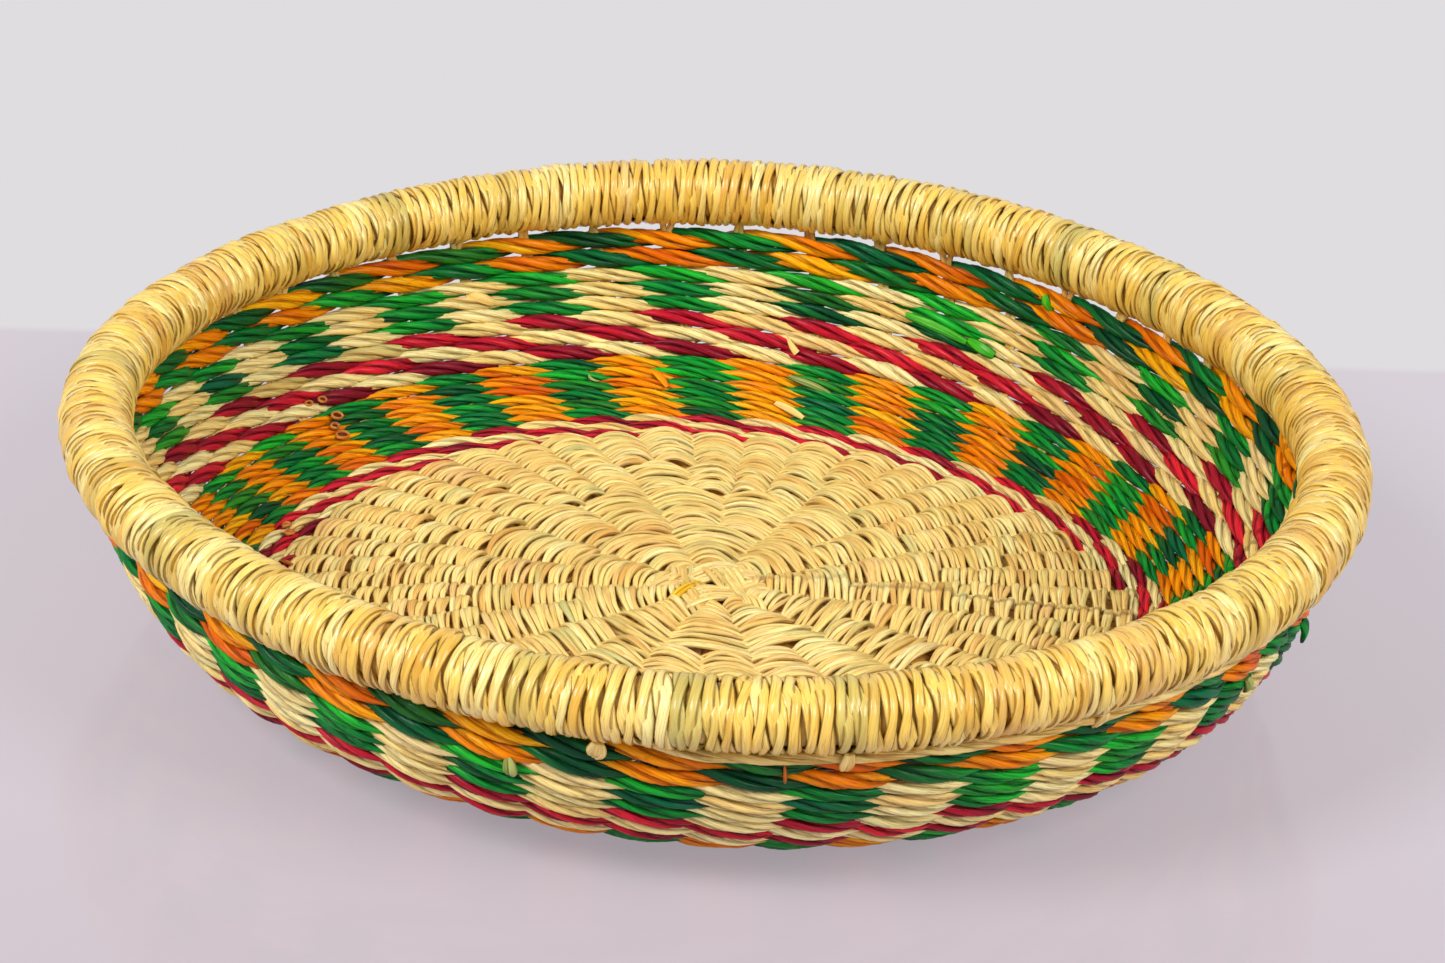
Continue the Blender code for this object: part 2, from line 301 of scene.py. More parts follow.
class Strand:
    """One straw or ply: its line, its section and its look."""

    def __init__(self, centre: Array, wide: Array, half_width: Array | float, half_depth: Array | float,
                 tint: Array | float, age: Array | float = 0.0, closed: bool = False) -> None:
        """Squares the section to the line.

        Args:
            centre: Points of the middle line.
            wide: Roughly the direction of the width.
            half_width: Half of the width.
            half_depth: Half of the thickness.
            tint: Paler above 0, deeper below.
            age: The aged tone above 0, the worn one below.
            closed: Whether the last point joins the first.
        """
        run = tangents(centre, closed)
        side = unit(wide - run * np.sum(wide * run, axis=-1, keepdims=True))
        even = np.ones(len(centre))
        self.centre = centre
        self.across = side * (half_width * even)[:, None]
        self.lift = np.cross(run, side) * (half_depth * even)[:, None]
        self.tint = tint * even
        self.age = age * even
        self.closed = closed
        self.along = np.append(0.0, np.cumsum(np.linalg.norm(np.diff(centre, axis=0), axis=1)))


def directed(place: Callable[..., Array], *where: Array) -> list[Array]:
    """A line on the basket, with the way that it moves as each of its coordinates grows.

    Args:
        place: The form's wall, floor or rim.
        where: The three coordinates.

    Returns:
        The points and the three ways.
    """
    centre = place(*where)
    return [centre] + [unit(place(*where[:index], where[index] + STEP, *where[index + 1:]) - centre)
                       for index in range(3)]


def beyond(values: Array, floor: float) -> Array:
    """How far values of either sign pass a floor, so that only some places age."""
    return np.sign(values) * np.clip(np.abs(values) - floor, 0, MOST_AGED)


@dataclass(frozen=True)
class Drift:
    """Smooth random differences along a line, drawn afresh at each call.

    Attributes:
        rng: Where the values come from.
        count: How many values there are in the round.
        places: The line's points, in steps of one value.
    """

    rng: np.random.Generator
    count: int
    places: Array

    def __call__(self, spread: float, finer: float = 1, shift: float = 0) -> Array:
        """Draws the values and joins them smoothly.

        Args:
            spread: Their usual size.
            finer: How many times as many there are.
            shift: How far on they are read.

        Returns:
            One value for each point.
        """
        count = int(self.count * finer)
        values = self.rng.normal(0.0, spread, count)
        places = (self.places + shift) * finer
        lower = np.floor(places).astype(int)
        share = places - lower
        share = share * share * (3 - 2 * share)
        return values[lower % count] * (1 - share) + values[(lower + 1) % count] * share


@dataclass(frozen=True)
class BasketForm:
    """The regular shape of the basket and the hand-made shape that it takes."""

    rim_radius: float = 0.190
    tube_radius: float = 0.0107
    tube_swell: float = 0.0004
    section_count: int = 28
    section_start: float = math.radians(87.5)
    stake_count: int = 52
    wall_thickness: float = 0.0040
    wall_top_inset: float = 0.0018
    top_lean: float = math.radians(85.3)
    foot_lean: float = math.radians(7.0)
    foot_lift: float = 0.0003
    lashing_height: float = 0.0024
    base_thickness: float = 0.0044
    base_dome: float = 0.0075
    cross_radius: float = 0.0120
    base_courses: int = 19
    inner_base_courses: int = 10
    seat_gap: float = 0.0003
    rim_oval: float = 0.0020
    rim_tilt_side: float = 0.0040
    rim_tilt_back: float = 0.0025
    rim_wave_two: float = 0.0014
    rim_wave_three: float = 0.0014
    foot_shift_side: float = 0.0035
    foot_shift_back: float = 0.0024
    pitches: tuple[float, ...] = (0.0060,) * 2 + (0.0051,) * 3 + (0.0056,) * 3 + (0.0043,) * 6 + (0.0040,) * 3

    @property
    def curve(self) -> float:
        """Radius of the wall's curve from the rim to the foot."""
        return sum(self.pitches) / (self.top_lean - self.foot_lean)

    @property
    def curve_radius(self) -> float:
        """How far the centre of the wall's curve is from the middle."""
        return self.rim_radius - self.wall_top_inset - self.curve * math.sin(self.top_lean)

    @property
    def curve_height(self) -> float:
        """Height of the centre of the wall's curve."""
        return self.foot_lift + self.wall_thickness / 2 + self.curve * math.cos(self.foot_lean)

    @property
    def wall_top(self) -> float:
        """Height of the top course's upper edge."""
        return self.curve_height - self.curve * math.cos(self.top_lean)

    @property
    def rim_height(self) -> float:
        """Height of the hoop's centre line."""
        return self.wall_top + self.lashing_height + self.tube_radius + self.tube_swell

    @property
    def base_radius(self) -> float:
        """Radius of the base where it meets the wall."""
        return self.curve_radius + self.curve * math.sin(self.foot_lean) - self.seat_gap

    @property
    def base_pitch(self) -> float:
        """Height of one course of the base, measured along the radius."""
        return (self.base_radius - self.cross_radius) / self.base_courses

    @property
    def course_tops(self) -> Array:
        """Length down the wall to each course's upper edge and to the foot."""
        return np.concatenate(([0.0], np.cumsum(self.pitches)))

    def down_to(self, course: float) -> float:
        """Length down the wall to a place among the courses."""
        return float(np.interp(course, np.arange(len(self.pitches) + 1), self.course_tops))

    def hand_shaped(self, angle: Array, radius: Array, height: Array) -> Array:
        """A regular point moved to its place on the hand-made basket.

        Args:
            angle: Angle round the basket.
            radius: Distance from the middle.
            height: Height above the table.

        Returns:
            Points with three values each.
        """
        share = height / self.rim_height * radius / self.rim_radius
        low_share = 1 - np.minimum(height / self.wall_top, 1)
        radius = radius - self.rim_oval * share * np.sin(2 * angle)
        lift = (self.rim_tilt_side * np.cos(angle) + self.rim_tilt_back * np.sin(angle)
                + self.rim_wave_two * np.sin(2 * angle) - self.rim_wave_three * np.sin(3 * angle))
        return np.stack((radius * np.cos(angle) + low_share * self.foot_shift_side,
                         radius * np.sin(angle) + low_share * self.foot_shift_back,
                         height + share * lift), axis=-1)

    def wall(self, angle: Array, down: Array, outward: Array) -> Array:
        """A point of the wall.

        Args:
            angle: Angle round the basket.
            down: Length down the wall from its top.
            outward: Distance out of the wall's middle.

        Returns:
            Points with three values each.
        """
        lean = self.top_lean - down / self.curve
        reach = self.curve + outward
        return self.hand_shaped(angle, self.curve_radius + reach * np.sin(lean),
                                self.curve_height - reach * np.cos(lean))

    def floor(self, angle: Array, radius: Array, up: Array) -> Array:
        """A point of the base, up from the middle of its thickness."""
        dome = self.base_dome * (1 - (radius / self.base_radius) ** 2)
        return self.hand_shaped(angle, radius, self.base_thickness / 2 + dome + up)

    def rim(self, angle: Array, turn: Array, radius: Array) -> Array:
        """A point of the rim; the turn round the hoop is 0 on the outside and a quarter on top."""
        return self.hand_shaped(angle, self.rim_radius + radius * np.cos(turn),
                                self.rim_height + radius * np.sin(turn))

    def section_angle(self, number: float) -> float:
        """Where a wrapped section of the rim starts."""
        return self.section_start + number * math.tau / self.section_count

    def stake_angle(self, place: Array, course: Array | float) -> Array:
        """Where the stakes stand, crowded a little at the sides.

        Args:
            place: Number of the stake; half numbers lie between two stakes.
            course: How many courses below the second course's top.

        Returns:
            Angles round the basket.
        """
        turn = place * math.tau / self.stake_count
        degrees = (math.degrees(1) * turn + 12.0 - 1.07 * np.cos(turn) + 0.73 * np.sin(turn)
                   - 0.97 * np.cos(2 * turn) - 2.77 * np.sin(2 * turn) - 0.34 * course)
        return np.radians(degrees)


def settle(piece: bpy.types.Object, finish: StrawFinish, *nodes: str) -> bpy.types.Object:
    """Puts a finished piece on the basket in place of its solids.

    Args:
        piece: The piece.
        finish: Its finish; not used.
        nodes: The solids that it stands for.

    Returns:
        The same piece.
    """
    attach(piece, "root")
    if nodes:
        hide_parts(*nodes)
    return piece


class StrawSweep:
    """The Geometry Nodes tree that gives a straw's section to every line of a piece."""

    def __init__(self) -> None:
        """Builds the tree."""
        self.tree = bpy.data.node_groups.new("straw_sweep", "GeometryNodeTree")
        self.tree.is_modifier = True
        face = self.tree.interface
        face.new_socket("Geometry", in_out="OUTPUT", socket_type="NodeSocketGeometry")
        face.new_socket("Lines", in_out="INPUT", socket_type="NodeSocketGeometry")
        self.finish_input = face.new_socket("Finish", in_out="INPUT",
                                            socket_type="NodeSocketMaterial").identifier
        self._wire_up(Bench(self.tree))

    def _wire_up(self, bench: Bench) -> None:
        """Adds the nodes that sweep the section and store the grain."""
        start = self.tree.nodes.new("NodeGroupInput")

        def named(name: str, kind: str = "FLOAT_VECTOR") -> Wire:
            """Reads a point attribute of the lines."""
            return bench.add("GeometryNodeInputNamedAttribute", {"Name": name}, "Attribute", data_type=kind)

        def stored(geometry: Wire, name: str, kind: str, value: Wire) -> Wire:
            """The geometry with one more point attribute."""
            return bench.add("GeometryNodeStoreNamedAttribute",
                             {"Geometry": geometry, "Name": name, "Value": value}, data_type=kind)

        curve = bench.add("GeometryNodeMeshToCurve", {"Mesh": Wire(bench, start.outputs["Lines"])})
        section = bench.add("GeometryNodeCurvePrimitiveCircle", {"Resolution": SIDES})
        index = bench.add("GeometryNodeInputIndex")
        section = stored(section, "turn", "FLOAT", index / SIDES * math.tau)
        swept = bench.add("GeometryNodeCurveToMesh",
                          {"Curve": curve, "Profile Curve": section, "Fill Caps": True})
        turn = named("turn", "FLOAT")
        offset = named("across") * turn.cosine() + named("lift") * turn.sine()
        straws = bench.add("GeometryNodeSetPosition",
                           {"Geometry": swept, "Position": named("centre") + offset})
        grain = bench.add("ShaderNodeCombineXYZ", {
            "X": turn.cosine(), "Y": turn.sine(), "Z": named("along", "FLOAT") * GRAIN_PER_METRE})
        straws = stored(straws, "grain", "FLOAT_VECTOR", grain + named("start"))
        # edge is near 1 at the sides of each section; the finishes use it to paint shade between neighbouring
        # plies
        straws = stored(straws, "edge", "FLOAT", turn.cosine().size())
        smooth = bench.add("GeometryNodeSetShadeSmooth", {"Geometry": straws})
        finished = bench.add("GeometryNodeSetMaterial",
                             {"Geometry": smooth, "Material": Wire(bench, start.outputs["Finish"])})
        end = self.tree.nodes.new("NodeGroupOutput")
        self.tree.links.new(finished.socket, end.inputs["Geometry"])

    def lay(self, name: str, node: str, strands: Sequence[Strand], finish: StrawFinish,
            seed: int) -> bpy.types.Object:
        """Makes one piece of many straws and puts it in place of its solid.

        Args:
            name: The piece's name.
            node: The solid that it stands for.
            strands: Its straws.
            finish: What they look like.
            seed: For the place of the grain on each straw.

        Returns:
            The piece, a plain mesh.
        """
        piece = placed(name, self._lines(name, strands, seed))
        modifier = piece.modifiers.new("straw_sweep", "NODES")
        modifier.node_group = self.tree
        modifier[self.finish_input] = finish.material()
        graph = bpy.context.evaluated_depsgraph_get()
        mesh = bpy.data.meshes.new_from_object(piece.evaluated_get(graph), preserve_all_data_layers=True,
                                               depsgraph=graph)
        piece.modifiers.clear()
        lines = piece.data
        piece.data = mesh
        mesh.name = name
        bpy.data.meshes.remove(lines)
        for spare in ("centre", "across", "lift", "start", "along", "turn"):
            if spare in mesh.attributes:
                mesh.attributes.remove(mesh.attributes[spare])
        LOG.info("%s: %d straws, %d faces", name, len(strands), len(mesh.polygons))
        return settle(piece, finish, node)

    def _lines(self, name: str, strands: Sequence[Strand], seed: int) -> bpy.types.Mesh:
        """The middle lines of the straws as a mesh of edges that carries their sections.

        Args:
            name: The mesh's name.
            strands: The straws.
            seed: For the place of the grain on each straw.

        Returns:
            The mesh.
        """
        rng = np.random.default_rng(seed)
        carried = {label: np.concatenate([getattr(strand, label) for strand in strands])
                   for label in ("centre", "across", "lift", "tint", "age", "along")}
        carried["start"] = np.concatenate([np.tile(rng.uniform(0, GRAIN_SPREAD, 3), (len(strand.centre), 1))
                                           for strand in strands])
        edges = []
        first = 0
        for strand in strands:
            here = np.arange(first, first + len(strand.centre))
            pairs = np.stack((here, np.roll(here, -1)), axis=-1)
            edges.append(pairs if strand.closed else pairs[:-1])
            first += len(here)
        mesh = bpy.data.meshes.new(name + "_lines")
        mesh.from_pydata(carried["centre"].tolist(), np.concatenate(edges).tolist(), [])
        for label, values in carried.items():
            vector = values.ndim == 2
            layer = mesh.attributes.new(label, "FLOAT_VECTOR" if vector else "FLOAT", "POINT")
            layer.data.foreach_set("vector" if vector else "value", values.astype(np.float32).ravel())
        return mesh


@dataclass
class BasketPart:
    """A part of the basket that lays its own pieces, with its own random differences."""

    form: BasketForm
    sweep: StrawSweep
    seed: int = 0

    def __post_init__(self) -> None:
        """Starts the random differences from the part's seed."""
        self.rng = np.random.default_rng(self.seed)


@dataclass(frozen=True)
class Band:
    """One colour band: its courses and the finish inside the even and the odd stakes."""

    node: str
    courses: int
    even: StrawFinish
    odd: StrawFinish
    chequered: bool = False
    odd_shade: float = 0.0


@dataclass
class TwinedWall(BasketPart):
    """Seventeen courses, each of two strands of three plies that cross between the stakes."""

    bands: tuple[Band, ...] = (
        Band("rim_band", 2, ORANGE, GREEN, odd_shade=-0.55),
        Band("green_band", 3, GREEN, NATURAL, odd_shade=1.0),
        Band("upper_check_band", 3, CRIMSON, NATURAL, True, 1.0),
        Band("orange_band", 6, GREEN, ORANGE),
        Band("lower_check_band", 3, CRIMSON, NATURAL, True, 1.0),
    )
    points_per_stake: int = 9
    plies: int = 3
    swing_share: float = 0.265
    climb_share: float = 0.215
    cord_height: float = 0.290
    cord_depth: float = 0.190
    width_share: float = 0.268
    depth_share: float = 0.216
    twists: int = 27
    dive: float = 0.16
    tight: float = 0.20
    top_rise: float = 0.0008
    dye_step: float = 0.25
    dye_drift: float = 0.65
    age_drift: float = 0.45
    aged_from: float = 0.25
    turn_drift: float = 0.06
    sag_drift: float = 0.00016
    twist_step: int = 2
    spin_drift: float = 0.25
    size_drift: float = 0.04
    swing_drift: float = 0.08
    fullness_drift: float = 0.08
    ply_step: float = 0.15
    ply_drift: float = 0.45
    seed: int = 11

    def strand(self, course: int, strand: int, shade: float) -> list[Strand]:
        """One strand of one course.

        Args:
            course: Number of the course, from the rim down.
            strand: 0 for the strand inside the even stakes, 1 for the other.
            shade: How much paler its dye is; deeper below 0.

        Returns:
            Its three plies.
        """
        rng = self.rng
        count = self.form.stake_count
        place = np.arange(count * self.points_per_stake) / self.points_per_stake
        drift = Drift(rng, count, place)
        dye = rng.normal(0, self.dye_step) + drift(self.dye_drift, 0.5, strand)
        age = beyond(drift(self.age_drift, 0.5), self.aged_from)
        sway = drift(self.turn_drift)
        sag = drift(self.sag_drift)
        turn = math.pi * (place + strand)
        turn = turn - self.dive * np.sin(2 * turn) + sway
        twists = self.twists + int(rng.integers(-self.twist_step, self.twist_step + 1))
        spin = place * math.tau / count * twists + rng.uniform(0, math.tau)
        spin = spin + drift(self.spin_drift)
        return [self.ply(drift, course, turn, spin + math.tau * number / self.plies, sag, dye + shade, age)
                for number in range(self.plies)]

    def ply(self, drift: Drift, course: int, turn: Array, spin: Array, sag: Array, dye: Array,
            age: Array) -> Strand:
        """One ply of a strand.

        Args:
            drift: For its small differences, at its points counted in stakes.
            course: Number of the course, from the rim down.
            turn: How far the strand has turned round the course's middle line.
            spin: How far the ply has turned round the strand's middle line.
            sag: How far the course sags.
            dye: The strand's tint.
            age: The strand's age.

        Returns:
            The ply.
        """
        form = self.form
        pitch = form.pitches[course]
        size = pitch * (1 - self.tight * np.sin(turn) ** 2 + drift(self.size_drift, 2))
        swing = pitch * self.swing_share * (1 + drift(self.swing_drift))
        down = form.course_tops[course] + pitch / 2 + sag - pitch * self.climb_share * np.sin(turn)
        down = down + size * self.cord_height * np.cos(spin) - self.top_rise * max(0.0, 1 - course / 2)
        outward = -swing * np.cos(turn) - size * self.cord_depth * np.sin(spin)
        centre, _, low, out = directed(form.wall, form.stake_angle(drift.places, course - 0.5), down, outward)
        centre[:, 2] = np.maximum(centre[:, 2], self.width_share * pitch)
        wide = -low * np.sin(spin)[:, None] * self.cord_height - out * np.cos(spin)[:, None] * self.cord_depth
        fullness = size * (1 + drift(self.fullness_drift, 2))
        tint = dye + self.rng.normal(0, self.ply_step) + drift(self.ply_drift, shift=0.5)
        return Strand(centre, wide, self.width_share * fullness, self.depth_share * fullness, tint, age, True)

    def build(self) -> list[bpy.types.Object]:
        """Makes the two colours of every band.

        Returns:
            The pieces.
        """
        pieces = []
        course = 0
        for band in self.bands:
            laid = {band.even.slot: [], band.odd.slot: []}
            for row in range(band.courses):
                swapped = band.chequered and row % 2 == 1
                for strand in (0, 1):
                    finish = band.even if (strand == 0) != swapped else band.odd
                    shade = band.odd_shade if finish is band.odd else 0.0
                    laid[finish.slot] += self.strand(course, strand, shade)
                course += 1
            for finish in (band.even, band.odd):
                name = f"{band.node}_{finish.slot}"
                pieces.append(self.sweep.lay(name, band.node, laid[finish.slot], finish, course))
        return pieces


@dataclass
class WovenBase(BasketPart):
    """Nineteen courses of loose natural straw, twined round the spokes."""

    points_per_column: int = 9
    straws: int = 3
    swing: float = 0.0029
    depth: float = 0.00082
    width_share: float = 0.40
    width_swell: float = 0.17
    spread: float = 0.82
    spread_swell: float = 0.16
    lean: float = 0.20
    heap: float = 0.00045
    layer: float = 0.00020
    crown_flatness: float = 0.15
    flattened_below: float = 0.42
    stake_course: float = 16.5
    phase_drift: float = 0.09
    spread_drift: float = 0.05
    lean_drift: float = 0.04
    side_drift: float = 0.00028
    swing_drift: float = 0.13
    rise_drift: float = 0.00022
    fullness_drift: float = 0.13
    column_tint: float = 0.45
    tint_drift: float = 0.6
    age_drift: float = 0.30
    aged_from: float = 0.45
    outer_spokes: int = 104
    inner_spokes: int = 52
    spoke_points: int = 8
    spoke_start: float = 0.002
    spoke_depth: float = 0.00025
    seed: int = 23

    def columns(self, course: int) -> list[float]:
        """The middles of a course's columns, counted in stakes.

        Args:
            course: Number of the course, from the outside in.

        Returns:
            One place for each column.
        """
        groups = [5, 5, 5, 5, 6] * 2
        for split_until in (14, 9):
            if course < split_until:
                groups = [part for size in groups for part in (size // 2, size - size // 2)]
        if course < 5:
            groups = [1] * self.form.stake_count
        edges = np.concatenate(([0], np.cumsum(groups)))
        return list((edges[:-1] + edges[1:]) / 2 - 0.5)

    def straw(self, course: int, strand: int, number: int, tint: Array, age: Array) -> Strand:
        """One straw of one course.

        Args:
            course: Number of the course, from the outside in.
            strand: 0 or 1, the two strands of a course.
            number: Place of the straw in its strand, from the outside in.
            tint: The strand's tint at each column.
            age: The strand's age at each column.

        Returns:
            The straw.
        """
        form = self.form
        middles = self.columns(course)
        count = len(middles)
        stops = np.arange(count + 1)
        place = np.arange(count * self.points_per_column) / self.points_per_column
        drift = Drift(self.rng, count, place)
        stake = np.interp(place, stops, middles + [middles[0] + form.stake_count])
        phase = math.pi * (place + strand) + drift(self.phase_drift)
        pitch = form.base_pitch
        spot = (number + 0.5) / self.straws - 0.5
        crown = np.cos(phase) ** 2
        spread = pitch * (self.spread + self.spread_swell * crown + drift(self.spread_drift))
        comb = pitch / self.straws * (0.25 - 0.5 * strand)
        lean = pitch * (self.lean + drift(self.lean_drift)) * np.sin(phase)
        inward = comb - lean - spot * spread + drift(self.side_drift, 2)
        radius = form.base_radius - (course + 0.5) * pitch - inward
        layer = self.layer * math.cos(math.pi * number) * np.sin(phase) ** 2
        heap = self.heap * (1 - (2 * spot) ** 2) * np.cos(phase).clip(0, 1)
        crown_height = 1 + self.crown_flatness - self.crown_flatness * crown
        up = self.swing * np.cos(phase) * crown_height + layer + heap
        up = up * (1 + drift(self.swing_drift)) + drift(self.rise_drift, 2)
        up = np.where(up < 0, up * self.flattened_below, up)
        centre, _, wide, _ = directed(form.floor, form.stake_angle(stake, self.stake_course), radius, up)
        centre[:, 2] = np.maximum(centre[:, 2], self.depth * 1.1)
        fullness = 1 + drift(self.fullness_drift)
        half_width = pitch / self.straws * (self.width_share + self.width_swell * crown) * fullness
        tint = np.interp(place, stops, np.append(tint, tint[0])) + drift(self.tint_drift)
        age = np.interp(place, stops, np.append(age, age[0])) + drift(self.age_drift, shift=0.5)
        return Strand(centre, wide, half_width, self.depth * fullness, tint, age, True)

    def spokes(self, inner: float, outer: float, count: int) -> list[Strand]:
        """The flat spokes that the courses run over and under.

        Args:
            inner: Radius where they start.
            outer: Radius where they end.
            count: How many there are.

        Returns:
            The spokes.
        """
        radius = np.linspace(inner, outer, self.spoke_points)
        strands = []
        for number in range(count):
            angle = number * math.tau / count + self.rng.normal(0, 0.1) / count + 0 * radius
            level = -self.layer * (1 + number % 2)
            centre = self.form.floor(angle, radius, level)
            wide = self.form.floor(angle + 0.01, radius, level) - centre
            strands.append(Strand(centre, wide, radius * math.pi / count * 1.12, self.spoke_depth,
                                  self.rng.normal(-1.6, 0.2)))
        return strands

    def build(self) -> list[bpy.types.Object]:
        """Makes the outer and the inner weave.

        Returns:
            The pieces.
        """
        form = self.form
        outer = form.base_courses - form.inner_base_courses
        first, second, inner = "base_outer_weave_first", "base_outer_weave_second", "base_inner_weave_straw"
        laid = {first: [], second: [], inner: []}
        for course in range(form.base_courses):
            for strand in (0, 1):
                count = len(self.columns(course))
                tint = self.rng.normal(0.0, self.column_tint, count)
                age = beyond(self.rng.normal(0, self.column_tint, count), self.aged_from)
                name = (first, second)[strand] if course < outer else inner
                laid[name] += [self.straw(course, strand, number, tint, age)
                               for number in range(self.straws)]
        middle = form.base_radius - outer * form.base_pitch
        laid[first] += self.spokes(middle, form.base_radius, self.outer_spokes)
        laid[inner] += self.spokes(self.spoke_start, middle, self.inner_spokes)
        return [self.sweep.lay(name, "_".join(name.split("_")[:3]), strands, NATURAL, len(name))
                for name, strands in laid.items()]


@dataclass
class BaseCross(BasketPart):
    """The middle of the base: two pairs of bundles woven over and under each other."""

    straws: int = 5
    points: int = 25
    turn: float = math.radians(24)
    between_ways: float = math.radians(83)
    swing: float = 0.0012
    reach_past: float = 0.0100
    bend: float = 0.0020
    height: float = 0.0024
    heap: float = 0.0008
    end_drop: float = 0.0050
    half_width: float = 0.00112
    half_depth: float = 0.00090
    seed: int = 31

    def straw(self, way: int, bundle: int, number: int) -> Strand:
        """One straw of a bundle.

        Args:
            way: 0 or 1, the pair that its bundle belongs to.
            bundle: 0 or 1, the bundle of the pair.
            number: Its place in the bundle.

        Returns:
            The straw.
        """
        rng = self.rng
        radius = self.form.cross_radius
        reach = radius + self.reach_past
        half = radius / 2
        along = np.linspace(-reach, reach, self.points)
        drift = Drift(rng, 9, np.linspace(0, 8, self.points))
        spot = (number + 0.5) / self.straws * 2 - 1
        over = -np.sin(math.pi / 2 * np.clip(along / half, -2, 2)) * (1 if way == bundle else -1)
        side = (bundle - 0.5) * radius * 0.98 + spot * half * (0.80 + 0.10 * over)
        side = side + self.bend * np.sin(along / reach * 2.2 + bundle * 2) + rng.normal(0, 0.0002)
        height = (self.height + self.swing * over + self.heap * (1 - spot ** 2)
                  - self.end_drop * (np.abs(along) / reach) ** 5)
        turn = self.turn + way * self.between_ways
        x = along * math.cos(turn) - side * math.sin(turn)
        y = along * math.sin(turn) + side * math.cos(turn)
        centre = self.form.floor(np.arctan2(y, x), np.hypot(x, y), height + rng.normal(0, 0.00015))
        wide = np.tile([-math.sin(turn), math.cos(turn), 0.0], (self.points, 1))
        fullness = 1 + drift(0.08)
        fullness = fullness * (1 - 0.45 * (np.abs(along) / reach) ** 6)
        return Strand(centre, wide, self.half_width * fullness, self.half_depth * fullness,
                      rng.normal(0.1, 0.6) + drift(0.3), rng.normal(0.1 if way else -0.1, 0.3))

    def thread(self) -> Strand:
        """The short thin end of straw that stands up from the middle."""
        share = np.linspace(0, 1, 7)
        centre = self.form.floor(math.radians(-9.5) + 0 * share, 0.0032, 0.001 + 0.0062 * share)
        centre[:, 0] += 0.0004 * share ** 2
        thinner = 1.1 - 0.4 * share
        return Strand(centre, np.tile([1.0, 0.0, 0.0], (7, 1)), 0.00034 * thinner, 0.00020 * thinner, 1.6)

    def bright_straw(self, beside: float) -> Strand:
        """One half of the bright yellow straw that lies next to the cross."""
        share = np.linspace(0, 1, 15)
        x = -0.0146 + 0.0112 * share - 0.0013 * beside
        y = -0.0170 + 0.0168 * share + 0.0010 * beside
        up = 0.0042 + 0.0008 * np.sin(math.pi * share) - 0.003 * (1 - share) ** 4 - 0.0015 * share ** 4
        centre = self.form.floor(np.arctan2(y, x), np.hypot(x, y), up)
        return Strand(centre, np.tile([-0.8, 0.6, 0.0], (15, 1)), 0.0009 * (1 - 0.3 * share), 0.0008,
                      0.2 - 0.8 * share)

    def build(self) -> list[bpy.types.Object]:
        """Makes the bundles, the thread and the one bright yellow straw beside them.

        Returns:
            The pieces.
        """
        strands = [self.straw(way, bundle, number)
                   for way in (0, 1) for bundle in (0, 1) for number in range(self.straws)]
        bright = [self.bright_straw(beside) for beside in (-0.5, 0.5)]
        return [self.sweep.lay("base_cross_straw", "base_cross", strands + [self.thread()], NATURAL, 5),
                self.sweep.lay("base_yellow_straw", "base_cross", bright, YELLOW, 6)]


